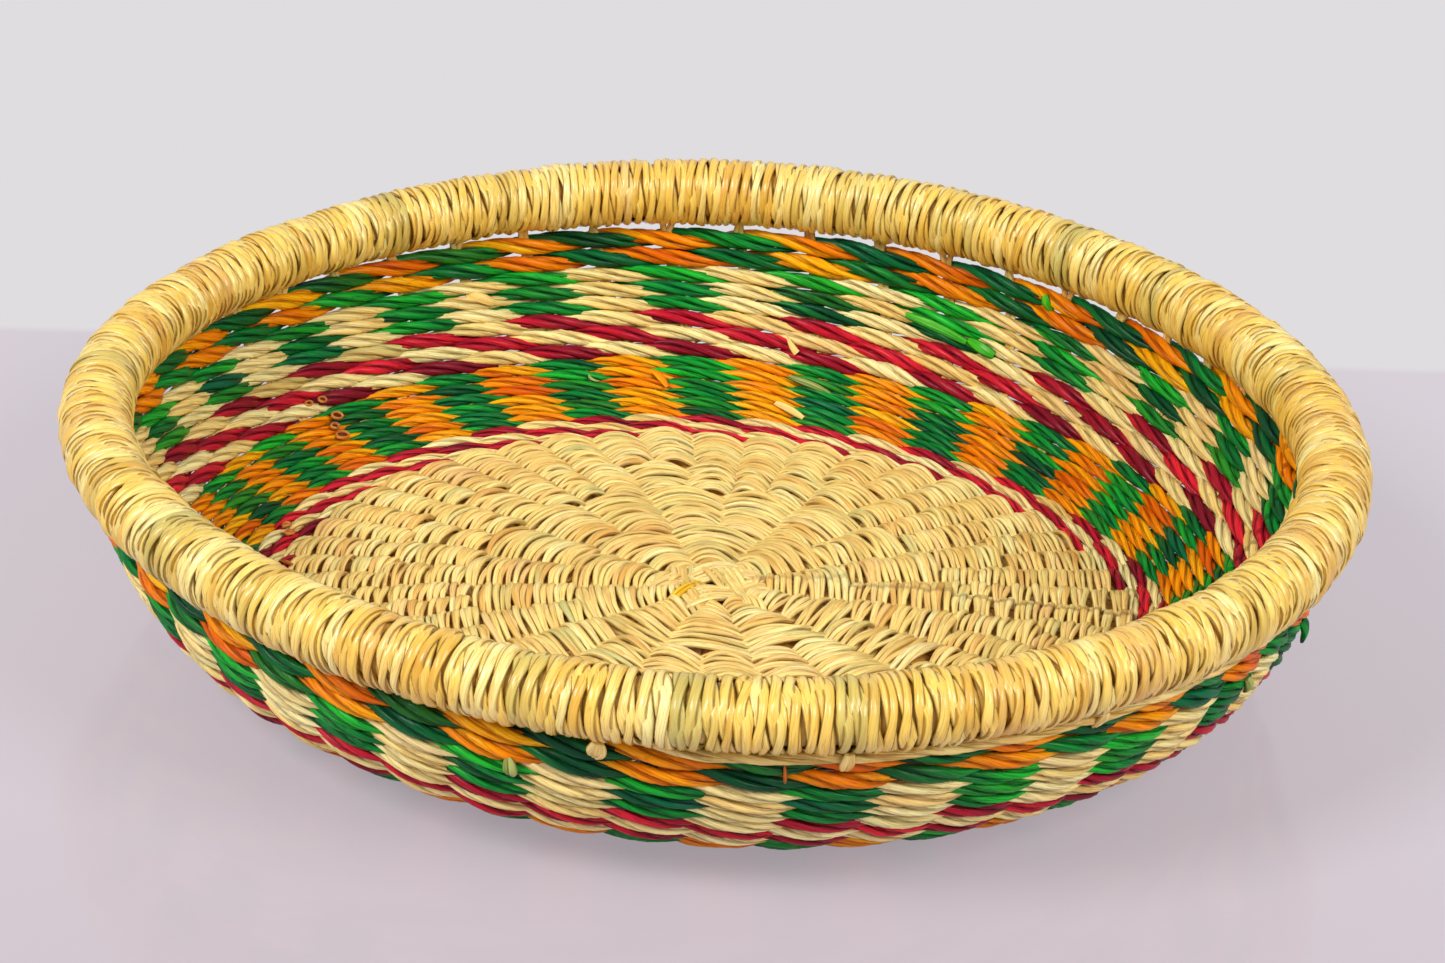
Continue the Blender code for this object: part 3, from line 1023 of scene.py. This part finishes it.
@dataclass
class WrappedRim(BasketPart):
    """The hoop's wrapping: sections of two-ply straw wound close, golden at one end of each."""

    windings: int = 10
    points_per_winding: int = 32
    twists: float = 1.6
    side_swing: float = 0.00104
    rise_swing: float = 0.00050
    half_width: float = 0.00162
    half_depth: float = 0.00086
    slant: float = 0.0006
    slant_drift: float = 0.0003
    side_drift: float = 0.00035
    swell_drift: float = 0.00020
    spin_drift: float = 0.6
    fullness_drift: float = 0.10
    ply_width_swell: float = 0.12
    tint_drift: float = 0.35
    ply_tint_drift: float = 0.3
    age_drift: float = 0.12
    clearance: float = 0.0002
    end_bump: float = 0.0005
    end_bump_windings: float = 0.8
    aged_share: float = 0.42
    green_share: float = 0.65
    layer_windings: int = 16
    layer_points: int = 16
    layer_inset: float = 0.0025
    layer_half_width: float = 0.0016
    layer_half_depth: float = 0.0006
    hoop_deep: Colour = tone(166, 126, 58)
    hoop_pale: Colour = tone(216, 176, 98)
    seed: int = 41

    def lower_layer(self, start: float, end: float, age: float) -> Strand:
        """The plain winding under the twisted one, so that the hoop stays covered.

        Args:
            start: Angle where the section starts.
            end: Angle where it ends.
            age: Share of the aged tone.

        Returns:
            The winding.
        """
        form = self.form
        place = np.linspace(0, self.layer_windings, self.layer_windings * self.layer_points)
        turn = math.pi / 2 - place * math.tau
        angle = start + place / self.layer_windings * (end - start)
        reach = form.tube_radius - self.layer_inset
        centre, sideways, _, _ = directed(form.rim, angle, turn, reach)
        return Strand(centre, sideways, self.layer_half_width, self.layer_half_depth,
                      -0.9 + 0.5 * np.sin(place * 2.3), 0.4 * age)

    def section(self, number: int) -> bpy.types.Object:
        """One wrapped section.

        Args:
            number: Number of the section, from 1.

        Returns:
            The piece.
        """
        form, rng = self.form, self.rng
        windings = self.windings + int(rng.integers(0, 2))
        start, end = form.section_angle(number - 1), form.section_angle(number)
        place = np.linspace(0, windings, windings * self.points_per_winding)
        drift = Drift(rng, windings, place)
        share = place / windings
        turn = -math.pi / 2 - place * math.tau
        slant = self.slant + drift(self.slant_drift)
        middle = start + share * (end - start)
        middle = middle + (slant * np.sin(turn - math.pi / 2) + drift(self.side_drift, 3)) / form.rim_radius
        swell = form.tube_swell * np.sin(math.pi * share) + drift(self.swell_drift)
        swell = swell + self.end_bump * np.exp(-((1 - share) * windings / self.end_bump_windings) ** 2)
        spin = place * self.twists * math.tau + drift(self.spin_drift, 3) + rng.uniform(0, 6)
        tint = 0.5 * share - 0.1 + drift(self.tint_drift)
        dull = rng.uniform(0.25, 0.95)
        kind = 1 if rng.random() < self.green_share else -1
        age = kind * dull * np.clip(1 - share / self.aged_share, 0, 1) ** 0.8 + drift(self.age_drift)
        plies = [self.lower_layer(start, end, dull * kind)]
        for lay in (spin, spin + math.pi):
            angle = middle + self.side_swing * np.cos(lay) / form.rim_radius
            reach = (form.tube_radius - self.half_depth - self.clearance + swell
                     + self.rise_swing * np.sin(lay))
            centre, sideways, _, outward = directed(form.rim, angle, turn, reach)
            wide = (sideways * (0.35 + np.sin(lay) ** 2)[:, None]
                    - outward * (np.cos(lay) * np.sin(lay))[:, None] * 0.9)
            fullness = 1 + self.ply_width_swell * np.cos(2 * lay) + drift(self.fullness_drift, 3)
            plies.append(Strand(centre, wide, self.half_width * fullness, self.half_depth * fullness,
                                tint + drift(self.ply_tint_drift, 3), age))
        name = f"rim_wrap_{number:02d}"
        return self.sweep.lay(f"{name}_straw", name, plies, GOLDEN, number)

    def hoop_material(self) -> bpy.types.Material:
        """The bundle of straw inside the rim, seen only between two windings.

        Returns:
            A material on Object coordinates.
        """
        material = bpy.data.materials.new("hoop_straw_finish")
        bench = cleared(material)
        strands = bench.noise(bench.add("ShaderNodeTexCoord", {}, "Object"), 400.0, 3.0)
        bump = bench.add("ShaderNodeBump", {"Height": strands, "Distance": 0.0004})
        colour = bench.blend(strands, self.hoop_deep, self.hoop_pale)
        shader = bench.add("ShaderNodeBsdfPrincipled",
                           {"Base Color": colour, "Roughness": 0.7, "Normal": bump})
        bench.add("ShaderNodeOutputMaterial", {"Surface": shader})
        return material

    def build(self) -> list[bpy.types.Object]:
        """Makes every wrapped section and gives the hoop inside its finish.

        Returns:
            The pieces.
        """
        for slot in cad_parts["rim_core_hoop"].material_slots:
            slot.material = self.hoop_material()
        return [self.section(number) for number in range(1, self.form.section_count + 1)]


@dataclass
class Lashing(BasketPart):
    """What joins the wall to the rim: the stake ends and a pale strand laid outside them."""

    stake_points: int = 26
    stake_start: float = -0.0075
    stake_gap: float = 0.0018
    stake_half_width: float = 0.00120
    stake_half_depth: float = 0.00045
    laid_from: float = 36.6
    laid_to: float = 47.4
    laid_half_width: float = 0.0014
    laid_half_depth: float = 0.0010
    seed: int = 53

    def stakes(self) -> list[Strand]:
        """The stakes, from under the foot of the wall up into the rim.

        Returns:
            Two straws for each stake.
        """
        form, rng = self.form, self.rng
        down = np.linspace(self.stake_start, sum(form.pitches), self.stake_points)
        course = np.interp(down, form.course_tops, np.arange(len(form.pitches) + 1))
        depth = self.stake_half_depth * (1 + 1.1 * (down < 0.001))
        strands = []
        for number in range(form.stake_count):
            for side in (-0.5, 0.5):
                lean = rng.normal(0, 0.0012)
                beside = side * self.stake_gap + lean * np.clip(-down / 0.004, 0, 1)
                angle = form.stake_angle(number, course - 1) + beside / form.rim_radius
                centre = form.wall(angle, down, 0.0001 * side)
                wide = unit(form.wall(angle + STEP, down, 0.0) - centre)
                strands.append(Strand(centre, wide, self.stake_half_width, depth, rng.normal(-0.7, 0.5),
                                      max(0.0, rng.normal(0.0, 0.25))))
        return strands

    def laid_strand(self) -> list[Strand]:
        """The pale two-ply strand under the outer side of the rim.

        Returns:
            Its two plies.
        """
        form = self.form
        place = np.arange(self.laid_from, self.laid_to, 0.1)
        drift = Drift(self.rng, form.stake_count, place)
        end = np.clip(np.minimum(place - place[0], place[-1] - place) / 0.8, 0, 1)
        strands = []
        for twist in (0, 1):
            phase = math.pi * (place + twist) + drift(0.15)
            down = -0.0008 + 0.0009 * np.sin(phase) - 0.0020 * (1 - end)
            outward = 0.0016 + 0.0018 * end + 0.0008 * np.cos(phase)
            centre, _, low, out = directed(form.wall, form.stake_angle(place, -1.0), down, outward)
            wide = unit(low * np.cos(phase)[:, None] - out * np.sin(phase)[:, None])
            size = (0.5 + 0.5 * end) * (1 + 0.15 * np.cos(2 * phase))
            strands.append(Strand(centre, wide, self.laid_half_width * size, self.laid_half_depth * size,
                                  drift(0.5)))
        return strands

    def build(self) -> list[bpy.types.Object]:
        """Makes the stakes and the laid strand as one piece."""
        strands = self.stakes() + self.laid_strand()
        return [self.sweep.lay("rim_lashing_straw", "rim_lashing", strands, NATURAL, 7)]


class Side(Enum):
    """The two faces of the wall, by the way that they look."""

    INSIDE = -1
    OUTSIDE = 1


@dataclass(frozen=True)
class LooseEnd:
    """A straw end, splice or knot that lies on the wall.

    Attributes:
        name: Its own name.
        node: The solid of the band that it belongs to.
        finish: What it looks like.
        side: The face of the wall that it lies on.
        place: Stake where it starts.
        course: Course where it starts, counted down from the rim.
        heading: Where it runs, in degrees: 0 towards higher stakes, 90 down the wall.
        length: How long it is.
        half_width: Half of its width.
        curl: How far it bends on its way, in degrees.
        stand_off: How far its tip lifts off the wall.
        point: How much it narrows towards both ends, from 0 to 1.
        straws: How many straws lie side by side in it.
        thickness: Its thickness as a share of its width.
        taper: How much narrower its tip is than its start, from 0 to 1.
    """

    name: str
    node: str
    finish: StrawFinish
    side: Side
    place: float
    course: float
    heading: float
    length: float
    half_width: float
    curl: float = 0.0
    stand_off: float = 0.0
    point: float = 0.5
    straws: int = 1
    thickness: float = 0.4
    taper: float = 0.0

    def strands(self, form: BasketForm) -> list[Strand]:
        """Its straws.

        Args:
            form: The basket that it lies on.

        Returns:
            One strand for each straw.
        """
        share = np.linspace(0, 1, 13)
        middle_bulge = (2 * share - 1) ** 2
        first = form.down_to(self.course)
        heading = np.radians(self.heading + self.curl * share)
        step = self.length / (len(share) - 1)
        along, drop = (np.concatenate(([0.0], np.cumsum(way(heading[:-1]) * step)))
                       for way in (np.cos, np.sin))
        start = form.stake_angle(self.place, self.course - 1)
        spot = form.wall(start, first, 0.0)
        reach = float(np.hypot(spot[0], spot[1]))
        pitch = form.pitches[int(self.course)]
        rest = 0.50 * pitch + 0.0009 * np.sin(math.pi * share) + self.stand_off * share ** 1.5
        size = self.half_width * (1 - self.point * middle_bulge) * (1 - self.taper * share)
        laid = []
        for number in range(self.straws):
            beside = (number - (self.straws - 1) / 2) * self.half_width * (1.2 - 0.5 * middle_bulge)
            angle = start + (along - beside * np.sin(heading)) / reach
            down = first + drop + beside * np.cos(heading)
            centre, _, _, out = directed(form.wall, angle, down, self.side.value * rest)
            wide = np.cross(tangents(centre, False), out)
            laid.append(Strand(centre, wide, size, size * self.thickness,
                               0.5 * math.sin(7 * self.place + 2.4 * number)))
        return laid


@dataclass(frozen=True)
class CutStem:
    """The hollow cut end of a stem that stands out of the wall.

    Attributes:
        name: Its own name.
        node: The solid of the band that it belongs to.
        place: Stake where it stands.
        course: Course where it stands, counted down from the rim.
        radius: Radius of the stem.
        reach: How far it stands out.
        flat: How far the stem is pressed flat, 0 for round.
        finish: What it looks like.
        skin: Half of the thickness of the stem's own wall.
        ring_depth: How far inside the wall's middle the stem starts.
        hollow_depth: How far inside the wall's middle the dark sheet lies that paints the shade in the
            hollow.
    """

    name: str
    node: str
    place: float
    course: float
    radius: float
    reach: float
    flat: float = 0.3
    finish: StrawFinish = DRIED
    skin: float = 0.00036
    ring_depth: float = 0.0028
    hollow_depth: float = 0.0032

    def strands(self, form: BasketForm) -> list[Strand]:
        """The wall of the stem as one thin closed band, and a dark sheet inside it that paints the shade in
        the hollow.

        Args:
            form: The basket that it stands on.

        Returns:
            Two strands.
        """
        turn = np.arange(16) * math.tau / 16
        first = form.down_to(self.course)
        start = float(form.stake_angle(self.place, self.course - 1))
        wave = 1 + 0.12 * np.sin(2 * turn + self.place) + 0.08 * np.sin(3 * turn)
        angle = start + self.radius * wave * np.cos(turn + 0.4) / 0.16
        down = first + self.radius * (1 - self.flat) * wave * np.sin(turn)
        outward = -self.ring_depth - self.reach / 2 - 0.0003 * np.sin(turn * 2)
        centre, _, _, out = directed(form.wall, angle, down, outward)
        ring = Strand(centre, out, self.reach / 2, self.skin, 0.7 + 0.5 * np.cos(turn * 2), closed=True)
        # a flat sheet in the deepest tone across the hollow: painted shade inside the stem
        share = np.linspace(-0.95, 0.95, 9)
        line = form.wall(start, first + share * self.radius * (1 - self.flat), -self.hollow_depth)
        side = unit(form.wall(start + STEP, first + share * self.radius, -self.hollow_depth) - line)
        return [ring, Strand(line, side, self.radius * np.sqrt(1 - share ** 2), 0.0002, -3.0)]


LOOSE_ENDS: tuple[LooseEnd | CutStem, ...] = (
    CutStem("cut_stem_upper", "orange_band", 18.50, 8.95, 0.00205, 0.0014),
    CutStem("cut_stem_middle", "orange_band", 18.74, 9.75, 0.00165, 0.0015),
    CutStem("cut_stem_lower", "orange_band", 18.80, 10.75, 0.00260, 0.0015, 0.40),
    CutStem("cut_stem_high_first", "upper_check_band", 18.78, 7.25, 0.00140, 0.0012, 0.4),
    CutStem("cut_stem_high_second", "upper_check_band", 18.48, 7.36, 0.00150, 0.0012, 0.3),
    CutStem("cut_stem_low_first", "lower_check_band", 22.50, 14.9, 0.00160, 0.0013, 0.4),
    CutStem("cut_stem_low_second", "lower_check_band", 22.80, 15.6, 0.00160, 0.0014, 0.3),
    LooseEnd("red_end_low", "lower_check_band", DRIED, Side.INSIDE, 24.0, 16.1, 25, 0.0065, 0.0007,
             curl=60, stand_off=0.0016, straws=2),
    LooseEnd("natural_tip", "upper_check_band", NATURAL, Side.INSIDE, 10.38, 7.35, -42, 0.0072, 0.0017,
             curl=-30, stand_off=0.0016, point=0.2, thickness=0.25, taper=0.85),
    LooseEnd("natural_splice", "lower_check_band", NATURAL, Side.INSIDE, 10.82, 12.05, 148, 0.0120, 0.0010,
             curl=15, stand_off=-0.0006, point=0.3, straws=2),
    LooseEnd("natural_stub", "green_band", NATURAL, Side.INSIDE, 14.75, 3.75, -28, 0.0100, 0.0012,
             stand_off=-0.0008, point=0.2, straws=2),
    LooseEnd("green_leaf", "green_band", LEAF, Side.INSIDE, 7.66, 4.30, 163, 0.0118, 0.0017,
             curl=6, stand_off=0.0004, point=0.40, thickness=0.14, taper=-0.4),
    LooseEnd("leaf_strand", "green_band", LEAF, Side.INSIDE, 8.66, 3.62, 172, 0.0250, 0.0011,
             curl=-6, stand_off=0.0002, point=0.4, straws=2),
    LooseEnd("green_patch", "rim_band", LEAF, Side.INSIDE, 6.32, 0.10, 122, 0.0056, 0.0019,
             stand_off=-0.0006, point=0.25, thickness=0.2),
    LooseEnd("orange_splice", "orange_band", ORANGE, Side.INSIDE, 12.72, 9.45, 128, 0.0085, 0.0009,
             curl=-8, straws=2),
    LooseEnd("olive_curl", "orange_band", OLIVE, Side.INSIDE, 13.75, 9.65, 60, 0.0060, 0.0006,
             curl=150, stand_off=0.0008),
    LooseEnd("olive_strand", "orange_band", OLIVE, Side.INSIDE, 10.55, 9.30, 162, 0.0170, 0.0009,
             curl=6, stand_off=-0.0006, point=0.6, straws=2),
    LooseEnd("olive_knot_first", "green_band", OLIVE, Side.OUTSIDE, 35.25, 1.62, 70, 0.0058, 0.0014,
             curl=40, stand_off=0.0008, straws=2, thickness=0.7),
    LooseEnd("olive_knot_second", "green_band", OLIVE, Side.OUTSIDE, 45.10, 1.95, 60, 0.0046, 0.0013,
             curl=30, stand_off=0.0006, straws=2, thickness=0.7),
    LooseEnd("green_knot", "rim_band", GREEN, Side.OUTSIDE, 47.30, 2.25, 40, 0.0062, 0.0016,
             curl=120, stand_off=0.0028, straws=2, thickness=0.7),
    LooseEnd("orange_tick", "rim_band", DRIED, Side.OUTSIDE, 38.28, 0.30, 88, 0.0064, 0.0006),
    LooseEnd("rim_loop_left", "rim_lashing", NATURAL, Side.OUTSIDE, 36.20, 0.55, -60, 0.0074, 0.0013,
             curl=-30, stand_off=0.0046, point=0.35, straws=3, thickness=0.7),
    LooseEnd("rim_loop_middle", "rim_lashing", NATURAL, Side.OUTSIDE, 38.95, 0.60, -86, 0.0078, 0.0014,
             curl=-10, stand_off=0.0048, point=0.35, straws=2, thickness=0.7),
    LooseEnd("rim_loop_right", "rim_lashing", NATURAL, Side.OUTSIDE, 42.00, 0.40, -84, 0.0066, 0.0012,
             curl=-12, stand_off=0.0044, point=0.4, straws=2, thickness=0.7),
)


@dataclass
class LooseEnds(BasketPart):
    """Every loose end that shows on the wall, each where it lies on the real basket."""

    seed: int = 100

    def build(self) -> list[bpy.types.Object]:
        """Makes them all."""
        return [self.sweep.lay(end.name, end.node, end.strands(self.form), end.finish, number)
                for number, end in enumerate(LOOSE_ENDS, self.seed)]


@dataclass(frozen=True)
class Lamp:
    """One square lamp: where it stands, the length of its side and its power."""

    name: str
    place: Place
    size: float
    watts: float


@dataclass
class Studio:
    """The pale table, the soft light and the camera."""

    table_tone: Colour = tone(216, 208, 216)
    near_tone: Colour = tone(192, 178, 187)
    wall_tone: Colour = tone(223, 221, 223)
    ambient: float = 0.38
    reach: float = 6.0
    table_edge: float = 0.2253
    edge_slope: float = 0.092
    edge_blur: float = 0.004
    table_glow: float = 0.55
    lamps: tuple[Lamp, ...] = (Lamp("key_lamp", (-2.0, -1.7, 2.4), 1.3, 91.0),
                               Lamp("fill_lamp", (2.2, -1.7, 2.2), 1.7, 69.0))
    lamp_target: Place = (0, 0, 0.03)
    lens: float = 104.1
    camera_place: Place = (-0.0078, -1.1862, 0.5836)
    camera_right: Place = (0.9978, 0.0189, 0.0631)
    camera_up: Place = (-0.0653, 0.4105, 0.9095)

    def seen(self, bench: Bench) -> Wire:
        """1 for what the camera sees, straight, in gloss or through glass."""
        rays = [bench.add("ShaderNodeLightPath", {}, f"Is {kind} Ray")
                for kind in ("Camera", "Glossy", "Transmission")]
        return rays[0].at_least(rays[1]).at_least(rays[2])

    def floor(self) -> None:
        """A wide pale floor whose tone changes behind the basket."""
        mesh = bpy.data.meshes.new("table_top")
        far = self.reach
        mesh.from_pydata([(-far, -far, 0), (far, -far, 0), (far, far, 0), (-far, far, 0)], [], [(0, 1, 2, 3)])
        floor = placed("table_top", mesh)
        material = bpy.data.materials.new("table_top_finish")
        bench = cleared(material)
        place = bench.add("ShaderNodeTexCoord", {}, "Object")
        side, back = (bench.add("ShaderNodeSeparateXYZ", {"Vector": place}, axis) for axis in "XY")
        behind = (back - side * self.edge_slope).over(self.table_edge - self.edge_blur,
                                                      self.table_edge + self.edge_blur)
        near = (0.0 - back).over(-0.1, 0.5)
        cloud = bench.noise(place, 2.2, 2.0)
        table = bench.blend(cloud * 0.25 + near * 0.75, self.table_tone, self.near_tone)
        colour = bench.blend(behind, table, self.wall_tone)
        shader = bench.add("ShaderNodeBsdfPrincipled",
                           {"Base Color": colour, "Roughness": behind * 0.5 + 0.10})
        glow = bench.add("ShaderNodeEmission", {"Color": colour, "Strength": 1.0})
        share = self.seen(bench) * (behind * (1 - self.table_glow) + self.table_glow)
        both = bench.add("ShaderNodeMixShader", {0: share, 1: shader, 2: glow})
        bench.add("ShaderNodeOutputMaterial", {"Surface": both})
        mesh.materials.append(material)

    def light(self) -> None:
        """Square soft lamps that look at the basket."""
        for lamp in self.lamps:
            light = bpy.data.lights.new(lamp.name, "AREA")
            light.energy = lamp.watts
            light.size = lamp.size
            placed_lamp = placed(lamp.name, light)
            placed_lamp.location = lamp.place
            aim = Vector(self.lamp_target) - Vector(lamp.place)
            placed_lamp.rotation_euler = aim.to_track_quat("-Z", "Y").to_euler()

    def world(self) -> None:
        """Even light from all round, and the pale wall behind everything."""
        world = bpy.data.worlds.new("studio")
        bpy.context.scene.world = world
        bench = cleared(world)
        even = bench.add("ShaderNodeBackground", {"Color": (1.0, 0.99, 1.0), "Strength": self.ambient})
        pale = bench.add("ShaderNodeBackground", {"Color": self.wall_tone, "Strength": 1.0})
        both = bench.add("ShaderNodeMixShader", {0: self.seen(bench), 1: even, 2: pale})
        bench.add("ShaderNodeOutputWorld", {"Surface": both})

    def camera(self) -> None:
        """The camera at the photograph's viewing angle."""
        data = bpy.data.cameras.new("camera")
        data.lens = self.lens
        data.sensor_width = 36.0
        data.clip_start = 0.05
        data.clip_end = 50.0
        camera = placed("camera", data)
        right = Vector(self.camera_right).normalized()
        back = right.cross(Vector(self.camera_up).normalized()).normalized()
        turn = Matrix((right, back.cross(right).normalized(), back)).transposed()
        camera.matrix_world = Matrix.Translation(self.camera_place) @ turn.to_4x4()
        bpy.context.scene.camera = camera

    def build(self) -> None:
        """Sets the whole studio."""
        self.floor()
        self.light()
        self.world()
        self.camera()
        bpy.context.scene.view_settings.view_transform = "Standard"


def main() -> None:
    """Builds the basket part by part, then the studio."""
    form = BasketForm()
    sweep = StrawSweep()
    for kind in (TwinedWall, WovenBase, BaseCross, Lashing, WrappedRim, LooseEnds):
        LOG.info("%s: %d pieces", kind.__name__, len(kind(form, sweep).build()))
    Studio().build()


if __name__ == "__main__":
    main()
